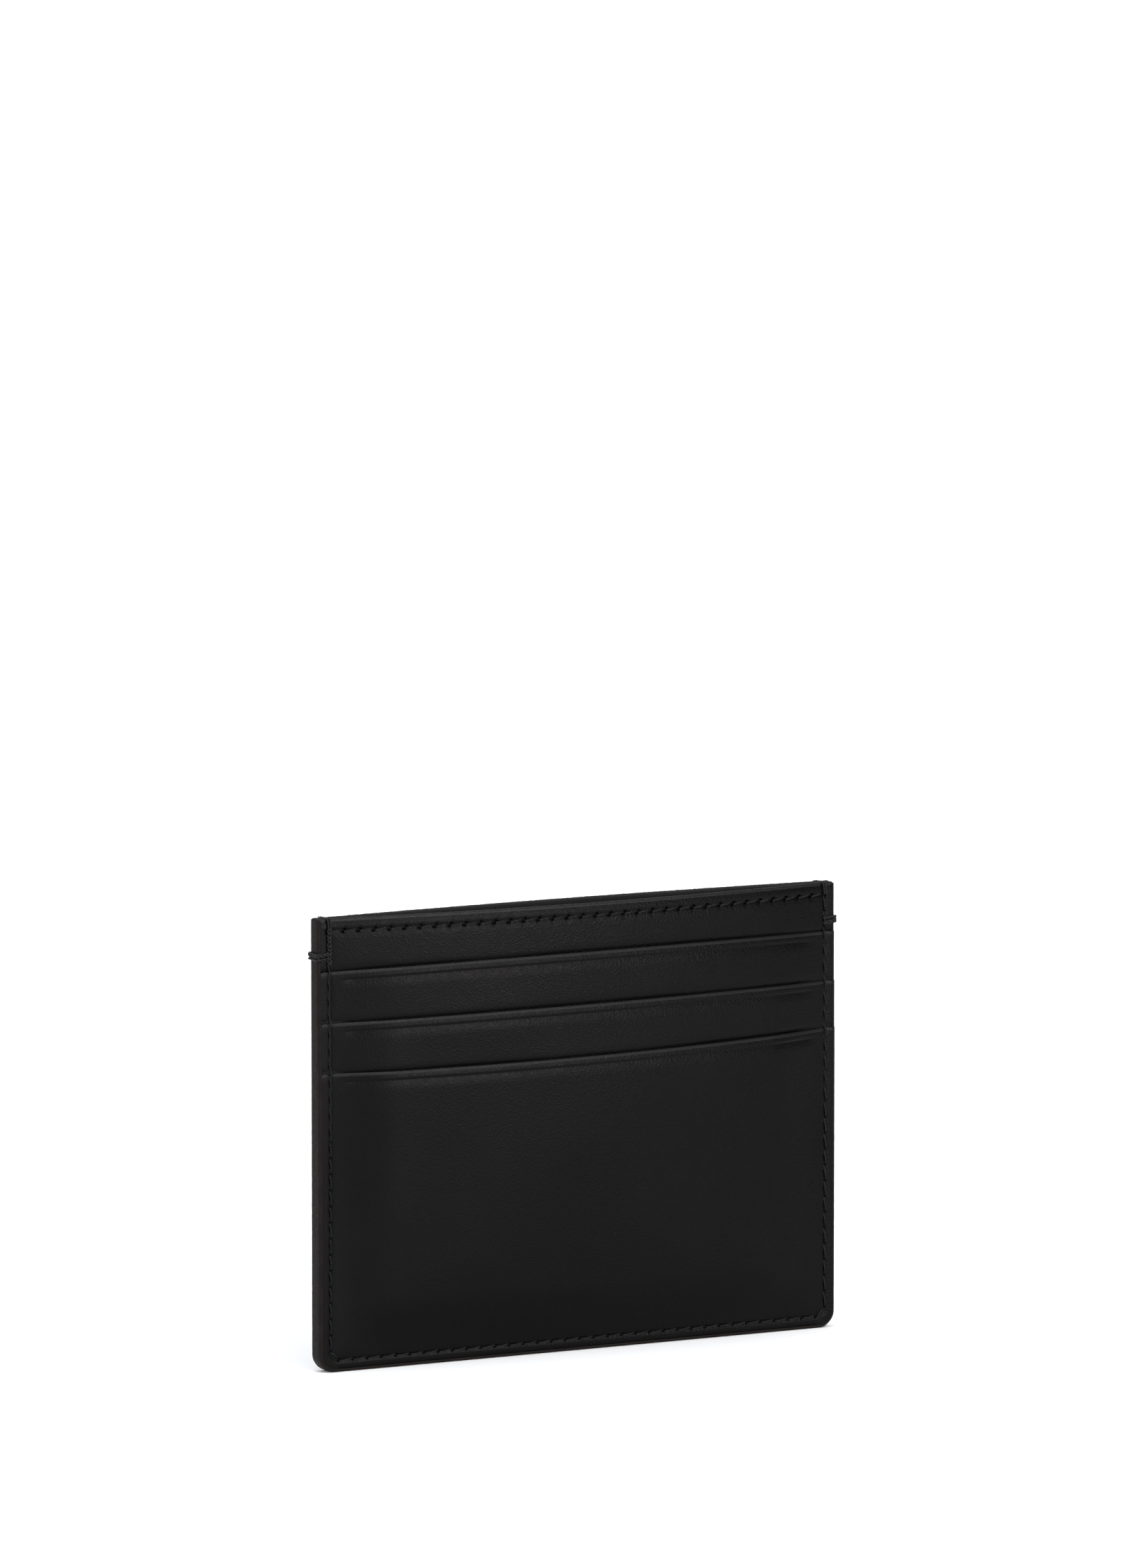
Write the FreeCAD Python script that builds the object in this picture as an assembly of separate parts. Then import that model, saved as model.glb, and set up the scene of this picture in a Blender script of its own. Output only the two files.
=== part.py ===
import FreeCAD, Part
import math
import os

V = FreeCAD.Vector

# Sewn leather card holder, standing upright on its bottom edge.
# Millimetres. Origin: middle of the bottom edge, in the plane where the two
# halves meet. +X along the width, -Y out of the slotted front, +Z up.

# ---- driving dimensions ----
WIDTH = 100.0            # over the painted side edges
HEIGHT = 78.0            # over the painted top edge
CORNER_R = 3.0           # bottom corners
COAT = 0.25              # thickness of the edge paint
GAP = 0.02               # glue line between neighbouring layers

LINING_T = 0.25          # woven lining
FRONT_BOARD_T = 0.35     # stiffener behind the front panel
FRONT_LEATHER_T = 0.60
BACK_BOARD_T = 0.50
BACK_LEATHER_T = 0.85

FRONT_BULGE = 3.9        # how far the two halves stand open at the top middle
BACK_BULGE = 1.7
BULGE_HALF_WIDTH = 48.0  # the bulge dies out at the side seams
BULGE_FOOT = 1.5         # and at the bottom seam
BULGE_SOFTNESS = 0.06    # rounds the bulge off into the flat margin
BULGE_POWER = 2.4

STEP_MIDDLE = 0.50       # rise of each pocket piece over the one behind it
STEP_MARGIN = 0.17       # the same where it is skived thin for the seams
SKIVE_OUTER = 47.5       # |x| where the skiving is complete
SKIVE_INNER = 36.0       # |x| where the leather has its full thickness
SKIVE_BAND = (3.0, 12.0)  # and the heights between which it thins to the bottom seam

# the three slot mouths: mean height at the sides, rise at the middle, and how
# much higher the right end is than the mean (the left end is as much lower)
MOUTHS = ((69.15, 0.58, 0.31), (60.44, 0.29, 0.42), (52.10, -0.33, 0.62))
POCKET_DEPTH = 15.5      # height of the leather strips of the upper two pockets
POCKET_FEET = (21.0, 13.0)  # seams that close the two upper pockets
TAPER_BAND = (34.0, 44.0)   # the bottom pocket's margin closes on the panel here
LIFT_INNER = 44.0        # it clears the tails of the upper pockets inside this |x|
LIFT_OUTER = 47.9
LIFT_BAND = (4.0, 10.0)  # and above this band

DROP_HALF_WIDTH = 43.5   # woven tails of the upper two pockets
DROP_T = 0.20
DROP_LAP = 6.0           # glued lap of tail and leather strip
DROP_HEM = 3.0           # tail below its foot seam

SEAM_INSET = 2.1         # perimeter and top seams, from the outer edge
SEAM_CORNER_R = 1.6
STITCH_PITCH = 2.75
STITCH_LENGTH = 2.0
THREAD_R = 0.17
HIDDEN_THREAD_R = 0.10

TACK_HEIGHT = 71.5       # middle of the bar tacks
TACK_STRANDS = 4
TACK_THREAD_R = 0.17
THREAD_BEND = 1.5        # bend of these threads, in thread radii
WRAP_STRANDS = 2

HALF_WIDTH = WIDTH / 2
LEATHER_HALF = HALF_WIDTH - COAT
LEATHER_TOP = HEIGHT - COAT
SEAM_X = HALF_WIDTH - SEAM_INSET
TOP_SEAM_Z = HEIGHT - SEAM_INSET

# the grid that every curved layer is laid out on
GRID_X = 53
GRID_Z = 41
GRID_HALF_WIDTH = 52.0
GRID_BOTTOM = -2.0
GRID_TOP = 80.0


# ---- shape of the bulge and of the layers ----
def soft_positive(value):
    """A value that never goes below zero and turns smoothly into it."""
    return 0.5 * (value + math.sqrt(value * value + BULGE_SOFTNESS ** 2))


def ramp(value, low, high):
    """0 below low, 1 above high, smooth between."""
    t = min(max((value - low) / (high - low), 0.0), 1.0)
    return t * t * (3 - 2 * t)


def bulge(x, z):
    """Share of the full bulge at a point of the face."""
    across = soft_positive(1 - (x / BULGE_HALF_WIDTH) ** 2)
    reach = min(max((HEIGHT - z) / (HEIGHT - BULGE_FOOT), 0.0), 1.2)
    up = soft_positive(1 - reach ** BULGE_POWER)
    return across * up


def fullness(x, z):
    """0 in the skived side and bottom margins, 1 where the leather is full."""
    return (1 - ramp(abs(x), SKIVE_INNER, SKIVE_OUTER)) * ramp(z, *SKIVE_BAND)


def step(x, z):
    """Rise of one pocket piece over the one behind it."""
    return STEP_MARGIN + (STEP_MIDDLE - STEP_MARGIN) * fullness(x, z)


FRONT_MARGIN = 3 * GAP + LINING_T + FRONT_BOARD_T + FRONT_LEATHER_T
BACK_MARGIN = 3 * GAP + LINING_T + BACK_BOARD_T + BACK_LEATHER_T


def front_level(depth, steps=0.0):
    """A surface of the front half: depth from the middle plane, plus pocket steps."""
    return lambda x, z: -(depth + FRONT_BULGE * bulge(x, z) + steps * step(x, z))


def back_level(depth):
    return lambda x, z: depth + BACK_BULGE * bulge(x, z)


def bottom_pocket_inner(x, z):
    """The bottom pocket rides over the upper pockets, and below them its
    margins come back onto the front panel."""
    lift = (1 - ramp(abs(x), LIFT_INNER, LIFT_OUTER)) * ramp(z, *LIFT_BAND)
    over = lift + (1 - lift) * ramp(z, *TAPER_BAND)
    return front_level(FRONT_MARGIN + GAP)(x, z) - 2 * step(x, z) * over


# ---- making solids ----
def curved_face(level):
    rows = []
    for i in range(GRID_X):
        x = -GRID_HALF_WIDTH + 2 * GRID_HALF_WIDTH * i / (GRID_X - 1)
        row = []
        for j in range(GRID_Z):
            z = GRID_BOTTOM + (GRID_TOP - GRID_BOTTOM) * j / (GRID_Z - 1)
            row.append(V(x, level(x, z), z))
        rows.append(row)
    surface = Part.BSplineSurface()
    surface.interpolate(rows)
    return surface.toShape()


def layer(outer, inner):
    """Solid slab between two curved surfaces laid out on the same grid."""
    faces = [curved_face(outer), curved_face(inner)]
    rims = zip(faces[0].Edges, faces[1].Edges)
    faces += [Part.makeRuledSurface(a, b) for a, b in rims]
    shell = Part.makeShell(faces)
    shell.sewShape()
    solid = Part.makeSolid(shell)
    if solid.Volume < 0:
        solid.reverse()
    return solid


def prism(edges):
    """Closed outline in the XZ plane, pulled through the whole thickness."""
    reach = 15.0
    face = Part.Face(Part.Wire(edges))
    face.translate(V(0, -reach, 0))
    return face.extrude(V(0, 2 * reach, 0))


def line(a, b):
    return Part.makeLine(V(a[0], 0, a[1]), V(b[0], 0, b[1]))


def arc(a, middle, b):
    return Part.Arc(V(a[0], 0, a[1]), V(middle[0], 0, middle[1]), V(b[0], 0, b[1])).toShape()


def raised(edge, distance):
    """The same long edge, higher up."""
    return (edge[0] + distance, edge[1], edge[2])


def end_of(edge, half, side):
    """Left (-1) or right (1) end of a long edge (height, crown, tilt)."""
    return (side * half, edge[0] + side * edge[2])


def long_edge(edge, half):
    """Edge across the width that rises by its crown at the middle."""
    left = end_of(edge, half, -1)
    right = end_of(edge, half, 1)
    if edge[1]:
        return arc(left, (0, edge[0] + edge[1]), right)
    return line(left, right)


def bottom_corner(half, low, r, side):
    """Quarter round at a bottom corner, from the side to the bottom edge."""
    lean = r * (1 - math.sqrt(0.5))
    a = (side * half, low + r)
    middle = (side * (half - lean), low + lean)
    b = (side * (half - r), low)
    return a, middle, b


def straight(z):
    """A long edge with no crown and no tilt."""
    return (z, 0.0, 0.0)


def sheet_outline(half, low, top, r):
    """Sheet with round bottom corners, a flat bottom and the given top edge."""
    left = bottom_corner(half, low, r, -1)
    right = bottom_corner(half, low, r, 1)
    return prism([
        long_edge(top, half),
        line(end_of(top, half, 1), right[0]),
        arc(*right),
        line(right[2], left[2]),
        arc(*left),
        line(left[0], end_of(top, half, -1)),
    ])


def band_outline(half, foot, top):
    """Strip across the width between two long edges."""
    return prism([
        long_edge(top, half),
        line(end_of(top, half, 1), end_of(foot, half, 1)),
        long_edge(foot, half),
        line(end_of(foot, half, -1), end_of(top, half, -1)),
    ])


def capsule(a, b, r):
    """Round-ended bar from a to b: one visible thread of a stitch."""
    length = (b - a).Length
    cap = r * math.sqrt(0.5)
    profile = Part.Wire([
        Part.Arc(V(0, 0, -r), V(cap, 0, -cap), V(r, 0, 0)).toShape(),
        Part.makeLine(V(r, 0, 0), V(r, 0, length)),
        Part.Arc(V(r, 0, length), V(cap, 0, length + cap), V(0, 0, length + r)).toShape(),
        Part.makeLine(V(0, 0, length + r), V(0, 0, -r)),
    ])
    body = Part.Face(profile).revolve(V(0, 0, 0), V(0, 0, 1), 360)
    body.Placement = FreeCAD.Placement(a, FreeCAD.Rotation(V(0, 0, 1), b - a))
    return body


def stitches_along(points, level, r, outward):
    """One stitch after every hole, lying just clear of the surface.
    outward is -1 where the surface looks to -Y and +1 where it looks to +Y."""
    bars = []
    rest = (STITCH_PITCH - STITCH_LENGTH) / 2 / STITCH_PITCH
    for (x0, z0), (x1, z1) in zip(points, points[1:]):
        ends = []
        for t in (rest, 1 - rest):
            x = x0 + (x1 - x0) * t
            z = z0 + (z1 - z0) * t
            ends.append(V(x, level(x, z) + outward * (r + 1.5 * GAP), z))
        bars.append(capsule(ends[0], ends[1], r))
    return bars


def row_of_holes(start, end):
    """Evenly spaced needle holes from start to end, at about the stitch pitch."""
    length = math.hypot(end[0] - start[0], end[1] - start[1])
    count = max(1, round(length / STITCH_PITCH))
    holes = []
    for i in range(count + 1):
        t = i / count
        holes.append((start[0] + (end[0] - start[0]) * t, start[1] + (end[1] - start[1]) * t))
    return holes


def perimeter_holes():
    """Needle holes down the left side, along the bottom and up the right side."""
    low = SEAM_INSET
    r = SEAM_CORNER_R
    left = row_of_holes((-SEAM_X, TOP_SEAM_Z), (-SEAM_X, low + r))
    bottom = row_of_holes((-SEAM_X + r, low), (SEAM_X - r, low))
    right = row_of_holes((SEAM_X, low + r), (SEAM_X, TOP_SEAM_Z))
    return left + bottom + right


def looped_strand(a, b, c, d, bend, r):
    """Thread that runs a-b-c-d over three sides of an edge, with round bends."""
    def toward(start, end, distance):
        return start + (end - start).normalize() * distance

    b_in = toward(b, a, bend)
    b_out = toward(b, c, bend)
    c_in = toward(c, b, bend)
    c_out = toward(c, d, bend)
    b_middle = b + ((b_in - b) + (b_out - b)) * (1 - math.sqrt(0.5))
    c_middle = c + ((c_in - c) + (c_out - c)) * (1 - math.sqrt(0.5))
    path = Part.Wire([
        Part.makeLine(a, b_in),
        Part.Arc(b_in, b_middle, b_out).toShape(),
        Part.makeLine(b_out, c_in),
        Part.Arc(c_in, c_middle, c_out).toShape(),
        Part.makeLine(c_out, d),
    ])
    profile = Part.Wire([Part.makeCircle(r, a, b - a)])
    return path.makePipeShell([profile], True, False)


# ---- full-size layers of the two halves ----
def half_layers(prefix, level, board_t, leather_t):
    """Lining, stiffener and leather panel, from the middle plane outwards."""
    outline = sheet_outline(LEATHER_HALF, COAT, straight(LEATHER_TOP), CORNER_R - COAT)
    pieces = {}
    depth = 0.0
    for name, thickness in (("lining", LINING_T), ("stiffener", board_t), ("panel", leather_t)):
        inner = depth + GAP
        depth = inner + thickness
        pieces[prefix + name] = layer(level(depth), level(inner)).common(outline)
    return pieces


# ---- card slots ----
def mouth_coat(slab, mouth):
    """Painted rim along a slot mouth."""
    return slab.common(band_outline(LEATHER_HALF, raised(mouth, GAP - COAT), mouth))


def upper_pocket(index):
    """Leather strip with a slot mouth on top, and the woven tail glued behind it."""
    mouth = MOUTHS[index]
    inner_depth = FRONT_MARGIN + GAP
    foot = straight(POCKET_FEET[index] - DROP_HEM)

    strip_low = mouth[0] - POCKET_DEPTH
    tail_top = strip_low + DROP_LAP
    tail_slab = layer(front_level(inner_depth + DROP_T, index), front_level(inner_depth, index))
    tail = tail_slab.common(band_outline(DROP_HALF_WIDTH, foot, straight(tail_top)))
    lap_slab = layer(front_level(inner_depth + DROP_T + GAP, index), front_level(0, index))
    lap = lap_slab.common(band_outline(DROP_HALF_WIDTH + GAP, foot, straight(tail_top + GAP)))

    slab = layer(front_level(FRONT_MARGIN, index + 1), front_level(inner_depth, index))
    outline = band_outline(LEATHER_HALF, straight(strip_low), raised(mouth, -COAT))
    return slab.common(outline).cut(lap), tail, mouth_coat(slab, mouth)


def bottom_pocket():
    mouth = MOUTHS[2]
    slab = layer(front_level(FRONT_MARGIN, 3), bottom_pocket_inner)
    outline = sheet_outline(LEATHER_HALF, COAT, raised(mouth, -COAT), CORNER_R - COAT)
    return slab.common(outline), mouth_coat(slab, mouth)


# ---- edge paint ----
def stepped_block(side):
    """Half of the width, with a front that steps out at each slot mouth."""
    ends = sorted(end_of(mouth, HALF_WIDTH, side)[1] for mouth in MOUTHS)
    levels = [0.0] + ends + [HEIGHT]
    profile = [V(0, BACK_MARGIN, 0)]
    for i in range(len(levels) - 1):
        front = -(FRONT_MARGIN + (3 - i) * STEP_MARGIN)
        profile.append(V(0, front, levels[i]))
        profile.append(V(0, front, levels[i + 1]))
    profile.append(V(0, BACK_MARGIN, HEIGHT))
    profile.append(profile[0])
    return Part.Face(Part.makePolygon(profile)).extrude(V(side * HALF_WIDTH, 0, 0))


def side_coat():
    """One bead round both sides and the bottom. Its front steps out at each slot mouth."""
    outer = sheet_outline(HALF_WIDTH, 0, straight(HEIGHT), CORNER_R)
    inner_r = CORNER_R - COAT + GAP
    hollow = sheet_outline(LEATHER_HALF + GAP, COAT - GAP, straight(HEIGHT + 1), inner_r)
    rim = outer.cut(hollow)
    halves = [stepped_block(side).common(rim) for side in (-1, 1)]
    return halves[0].fuse(halves[1]).removeSplitter()


def top_coats():
    rim = band_outline(LEATHER_HALF, straight(LEATHER_TOP + GAP), straight(HEIGHT))
    front = layer(front_level(FRONT_MARGIN), front_level(GAP))
    back = layer(back_level(BACK_MARGIN), back_level(GAP))
    return front.common(rim), back.common(rim)


# ---- stitching ----
def perimeter_seam():
    def front(x, z):
        below = sum(1 for height, _, tilt in MOUTHS
                    if z < height + tilt * x / HALF_WIDTH + STITCH_PITCH)
        return front_level(FRONT_MARGIN, below)(x, z)

    holes = perimeter_holes()
    needle = stitches_along(holes, front, THREAD_R, -1)
    bobbin = stitches_along(holes, back_level(BACK_MARGIN), THREAD_R, 1)
    return needle, bobbin


def top_seam(outer, inner, outward):
    """Row under the top edge of one half, seen outside and on the lining."""
    holes = row_of_holes((-SEAM_X, TOP_SEAM_Z), (SEAM_X, TOP_SEAM_Z))
    reach = DROP_HALF_WIDTH - 2 * STITCH_PITCH
    open_holes = [hole for hole in holes if abs(hole[0]) < reach]
    outside = stitches_along(holes, outer, THREAD_R, outward)
    inside = stitches_along(open_holes, inner, THREAD_R, -outward)
    return outside + inside


def foot_seam(index):
    """Hidden row that closes the foot of an upper pocket."""
    foot = POCKET_FEET[index]
    half = DROP_HALF_WIDTH - 4.0
    level = front_level(FRONT_MARGIN + GAP + DROP_T, index)
    return stitches_along(row_of_holes((-half, foot), (half, foot)), level, HIDDEN_THREAD_R, -1)


def bar_tack(side):
    """Strands whipped round the side edge, one above the other."""
    strands = []
    r = TACK_THREAD_R
    front = -(FRONT_MARGIN + r + 2 * GAP)
    back = BACK_MARGIN + r + 2 * GAP
    bulged_front = front - FRONT_BULGE * bulge(SEAM_X, TACK_HEIGHT)
    bulged_back = back + BACK_BULGE * bulge(SEAM_X, TACK_HEIGHT)
    start = side * (SEAM_X + 2.5 * r)
    outer = side * (HALF_WIDTH + r + 2 * GAP)
    for i in range(TACK_STRANDS):
        z = TACK_HEIGHT + (i - (TACK_STRANDS - 1) / 2) * 2.1 * r
        strands.append(looped_strand(
            V(start, bulged_front, z), V(outer, front, z), V(outer, back, z), V(start, bulged_back, z),
            THREAD_BEND * r, r))
    return strands


def corner_wrap(side):
    """Strands over the top edge where the side seam starts."""
    strands = []
    r = TACK_THREAD_R
    front = -(FRONT_MARGIN + FRONT_BULGE * bulge(SEAM_X, HEIGHT) + r + 2 * GAP)
    back = BACK_MARGIN + BACK_BULGE * bulge(SEAM_X, HEIGHT) + r + 2 * GAP
    low = TOP_SEAM_Z + 1.5 * r
    top = HEIGHT + r + 2 * GAP
    for i in range(WRAP_STRANDS):
        x = side * (SEAM_X + (i - 0.5) * 2.1 * r)
        strands.append(looped_strand(
            V(x, front, low), V(x, front, top), V(x, back, top), V(x, back, low),
            THREAD_BEND * r, r))
    return strands


# ---- assembly ----
def build():
    nodes = {}
    nodes.update(half_layers("front_", front_level, FRONT_BOARD_T, FRONT_LEATHER_T))
    nodes.update(half_layers("back_", back_level, BACK_BOARD_T, BACK_LEATHER_T))
    for index, name in enumerate(("top", "middle")):
        strip, tail, coat = upper_pocket(index)
        nodes["pocket_" + name] = strip
        nodes["pocket_" + name + "_drop"] = tail
        nodes["edge_coat_slot_" + name] = coat
        nodes["seam_pocket_" + name] = Part.makeCompound(foot_seam(index))
    nodes["pocket_bottom"], nodes["edge_coat_slot_bottom"] = bottom_pocket()
    nodes["edge_coat_sides"] = side_coat()
    nodes["edge_coat_front_top"], nodes["edge_coat_back_top"] = top_coats()
    needle, bobbin = perimeter_seam()
    nodes["seam_perimeter_front"] = Part.makeCompound(needle)
    nodes["seam_perimeter_back"] = Part.makeCompound(bobbin)
    front_row = top_seam(front_level(FRONT_MARGIN), front_level(GAP), -1)
    back_row = top_seam(back_level(BACK_MARGIN), back_level(GAP), 1)
    nodes["seam_top_front"] = Part.makeCompound(front_row)
    nodes["seam_top_back"] = Part.makeCompound(back_row)
    for side, name in ((-1, "left"), (1, "right")):
        nodes["bartack_" + name] = Part.makeCompound(bar_tack(side))
        nodes["corner_wrap_" + name] = Part.makeCompound(corner_wrap(side))
    return nodes


def main():
    os.makedirs("parts", exist_ok=True)
    for name, shape in build().items():
        shape.exportStep("parts/" + name + ".step")
        box = shape.BoundBox
        size = (box.XLength, box.YLength, box.ZLength)
        print("%-24s %3d solid(s)  volume %8.1f  box %6.2f x %6.2f x %6.2f  valid %s"
              % ((name, len(shape.Solids), shape.Volume) + size + (shape.isValid(),)))


main()
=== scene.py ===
import math

import bpy
import numpy as np
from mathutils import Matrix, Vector


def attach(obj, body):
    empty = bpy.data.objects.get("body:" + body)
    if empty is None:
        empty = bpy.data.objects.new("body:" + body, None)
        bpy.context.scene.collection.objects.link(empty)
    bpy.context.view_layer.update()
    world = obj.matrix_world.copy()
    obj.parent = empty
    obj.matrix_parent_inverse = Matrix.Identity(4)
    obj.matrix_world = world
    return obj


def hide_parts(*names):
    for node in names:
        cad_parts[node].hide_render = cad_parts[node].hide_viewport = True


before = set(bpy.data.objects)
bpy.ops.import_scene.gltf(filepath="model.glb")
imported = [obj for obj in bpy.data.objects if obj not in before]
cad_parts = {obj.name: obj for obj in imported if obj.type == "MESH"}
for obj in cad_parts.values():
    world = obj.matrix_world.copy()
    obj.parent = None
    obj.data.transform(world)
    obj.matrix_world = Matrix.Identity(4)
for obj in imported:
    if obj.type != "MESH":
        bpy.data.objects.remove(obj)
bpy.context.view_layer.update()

# Sewn leather card holder. Lengths below are millimetres in the CAD frame:
# +X along the width, -Y out of the slotted front, +Z up. Meshes are made in metres.
MM = 0.001

# ---- dimensions shared with the CAD part ----
HALF_WIDTH = 50.0
HEIGHT = 78.0
CORNER_R = 3.0
COAT = 0.25
GAP = 0.02
LINING_T = 0.25
FRONT_MARGIN = 1.26
BACK_MARGIN = 1.66
FRONT_LEATHER_T = 0.60
BACK_LEATHER_T = 0.85
FRONT_BULGE = 3.9
BACK_BULGE = 1.7
STEP_MIDDLE = 0.50
STEP_MARGIN = 0.17
MOUTHS = ((69.15, 0.58, 0.31), (60.44, 0.29, 0.42), (52.10, -0.33, 0.62))
POCKET_DEPTH = 15.5
SEAM_INSET = 2.1
SEAM_X = HALF_WIDTH - SEAM_INSET
TOP_SEAM_Z = HEIGHT - SEAM_INSET
SEAM_CORNER_R = 1.6
STITCH_PITCH = 2.75
LEATHER_HALF = HALF_WIDTH - COAT
LEATHER_TOP = HEIGHT - COAT
TACK_HEIGHT = 71.5
SLOT_NAMES = ("top", "middle", "bottom")
THIN_MARGIN = (36.0, 47.5)      # distance from the middle over which the pockets thin to the sides

# ---- relief of the leather ----
GROOVE_DEPTH = 0.12
TOP_GROOVE_EXTRA = 0.07
GROOVE_WIDTH = 0.30
# needle holes: long radius, short radius, lean of the long axis, depth
SIDE_HOLE = (0.28, 0.20, math.radians(38), 0.30)
TOP_HOLE = (0.46, 0.30, math.radians(48), 0.50)
CREASE_DROP = 1.5               # heated crease, below its slot mouth
CREASE_DEPTH = 0.18
TUCK_DEPTH = 0.22
TUCK_REACH = 0.50
NOSE_DROP = 0.13
BORDER_ROLL = 0.25
LIP_ROLL = 0.14
PANEL_TOP_R = 0.4
POCKET_TOP_R = 0.7

# ---- mesh sizes on the leather ----
MESH_HIDDEN = 1.6
MESH_PLAIN = 0.8
MESH_SEAM = 0.2
MESH_FINE = 0.1
SPLITS = 4                      # times that the coarsest square may be halved
PANEL_HIDDEN_BELOW = 66.0       # the pockets cover the front panel below this height

# ---- edge paint ----
SIDE_LAP = 0.32
TOP_LAP = 0.45
SLOT_LAP = 0.30
SECTION_POINTS = 22

# ---- thread ----
PLIES = 2
PLY_SIDES = 7
CROSS_GUIDE = np.array([0.31, 0.87, 0.38])      # no thread runs this way
SIDE_STITCH = dict(r=0.13, slant=0.16, proud=0.5, early=0.75, sunk=0.20)
SIDE_THREAD_R = 0.12
TOP_STITCH = dict(r=0.16, slant=0.19, proud=0.2, early=0.5, sunk=0.36)
LINING_STITCH = dict(r=0.12, slant=0.05, dip=0.05, sunk=0.05)
SEAM_TWIST = 1.0                # length of one turn of the plies
WHIP_R = 0.17                   # radius that the bar tacks and wraps are laid out for

rng = np.random.default_rng(7)


# ---- surfaces ----
def ramp(value, low, high):
    """Smooth rise from 0 at low to 1 at high."""
    t = np.clip((value - low) / (high - low), 0.0, 1.0)
    return t * t * (3 - 2 * t)


def soft_positive(value):
    """The value where positive, near zero where negative, with a round bend between."""
    return 0.5 * (value + np.sqrt(value * value + 0.06 ** 2))


def bulge(x, z):
    """How far the faces crown, from 0 at the sides and bottom to 1 at the middle of the top."""
    across = soft_positive(1 - (x / 48.0) ** 2)
    reach = np.clip((HEIGHT - z) / (HEIGHT - 1.5), 0.0, 1.2)
    return across * soft_positive(1 - reach ** 2.4)


def step(x, z):
    """Height of one pocket layer over the one behind it."""
    full = (1 - ramp(np.abs(x), *THIN_MARGIN)) * ramp(z, 3.0, 12.0)
    return STEP_MARGIN + (STEP_MIDDLE - STEP_MARGIN) * full


def front_level(depth, steps=0.0):
    return lambda x, z: -(depth + FRONT_BULGE * bulge(x, z) + steps * step(x, z))


def back_level(depth):
    return lambda x, z: depth + BACK_BULGE * bulge(x, z)


def bottom_pocket_inner(x, z):
    """Back of the bottom pocket, which clears the tails of the other two."""
    lift = (1 - ramp(np.abs(x), 44.0, 47.9)) * ramp(z, 4.0, 10.0)
    over = lift + (1 - lift) * ramp(z, 34.0, 44.0)
    return front_level(FRONT_MARGIN + GAP)(x, z) - 2 * step(x, z) * over


def mouth_z(index, x):
    height, crown, tilt = MOUTHS[index]
    share = x / HALF_WIDTH
    return height + tilt * share + crown * (1 - share ** 2)


def pocket_layers(x, z, start, full):
    """How many pocket pieces lie over the front panel, blending in below each mouth."""
    return sum(ramp(mouth_z(k, x) - z, start, full) for k in range(3))


def inset(x, z, half, low, high, r):
    """Distance inside an outline with round bottom corners."""
    ax = np.abs(x)
    flat = np.minimum(np.minimum(half - ax, z - low), high - z)
    cx = ax - (half - r)
    cz = low + r - z
    corner = np.minimum(r - np.hypot(np.maximum(cx, 0), np.maximum(cz, 0)), high - z)
    return np.where((cx > 0) & (cz > 0), corner, flat)


def from_edge(x, z):
    """Distance from the outline whose offset is the line of the seams."""
    return inset(x, z, HALF_WIDTH, 0.0, HEIGHT, SEAM_CORNER_R + SEAM_INSET)


# ---- needle holes ----
def row_of_holes(start, end):
    count = max(1, round(math.dist(start, end) / STITCH_PITCH))
    t = np.linspace(0, 1, count + 1)[:, None]
    return np.array(start) * (1 - t) + np.array(end) * t


def perimeter_holes():
    low = SEAM_INSET
    r = SEAM_CORNER_R
    return np.vstack([
        row_of_holes((-SEAM_X, TOP_SEAM_Z), (-SEAM_X, low + r)),
        row_of_holes((-SEAM_X + r, low), (SEAM_X - r, low)),
        row_of_holes((SEAM_X, low + r), (SEAM_X, TOP_SEAM_Z)),
    ])


PERIMETER = perimeter_holes()
TOP_ROW = row_of_holes((-SEAM_X, TOP_SEAM_Z), (SEAM_X, TOP_SEAM_Z))


def hole_depth(x, z, holes, long_r, short_r, lean, depth):
    """Relief of slanted needle holes; lean is the angle of their long axis."""
    out = np.zeros(x.shape)
    near = np.abs(from_edge(x, z) - SEAM_INSET) < 1.0
    px, pz = x[near], z[near]
    best = np.zeros(px.shape)
    c, s = math.cos(lean), math.sin(lean)
    for hx, hz in holes:
        dx, dz = px - hx, pz - hz
        u = (dx * c + dz * s) / long_r
        v = (dz * c - dx * s) / short_r
        best = np.maximum(best, np.exp(-(u * u + v * v) ** 1.5))
    out[near] = -depth * best
    return out


# ---- relief of the leather faces, outward positive ----
def seam_relief(x, z, top_row):
    d = from_edge(x, z)
    along_top = ramp(z, 74.0, 75.0) * top_row
    depth = GROOVE_DEPTH + TOP_GROOVE_EXTRA * along_top
    groove = -depth * np.exp(-((d - SEAM_INSET) / GROOVE_WIDTH) ** 2)
    pull = -0.07 * np.exp(-np.maximum(d - SEAM_INSET, 0) / 1.3)
    margin = -0.05 * (1 - ramp(d, 0.0, 1.9)) - 0.07 * ramp(d, 0.6, SEAM_INSET)
    out = groove + np.where(d < SEAM_INSET, margin, pull)
    out += hole_depth(x, z, PERIMETER, *SIDE_HOLE)
    if top_row:
        out += hole_depth(x, z, TOP_ROW, *TOP_HOLE)
    return out


def lip_relief(x, z, index):
    """Heated crease below a slot mouth: steep above, sloping out below."""
    fade = 1 - ramp(np.abs(x), 43.3, 46.3)
    d = mouth_z(index, x) - z - CREASE_DROP
    crease = np.where(d < 0, np.exp(-(d / 0.15) ** 2), np.exp(-(d / 0.60) ** 2))
    return -CREASE_DEPTH * fade * crease


def tuck_relief(x, z, index):
    """The face sinks a little where a pocket lip presses on it."""
    up = z - mouth_z(index, x)
    return -TUCK_DEPTH * np.exp(-(np.maximum(up, 0) / TUCK_REACH) ** 2) * (up > -3)


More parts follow.
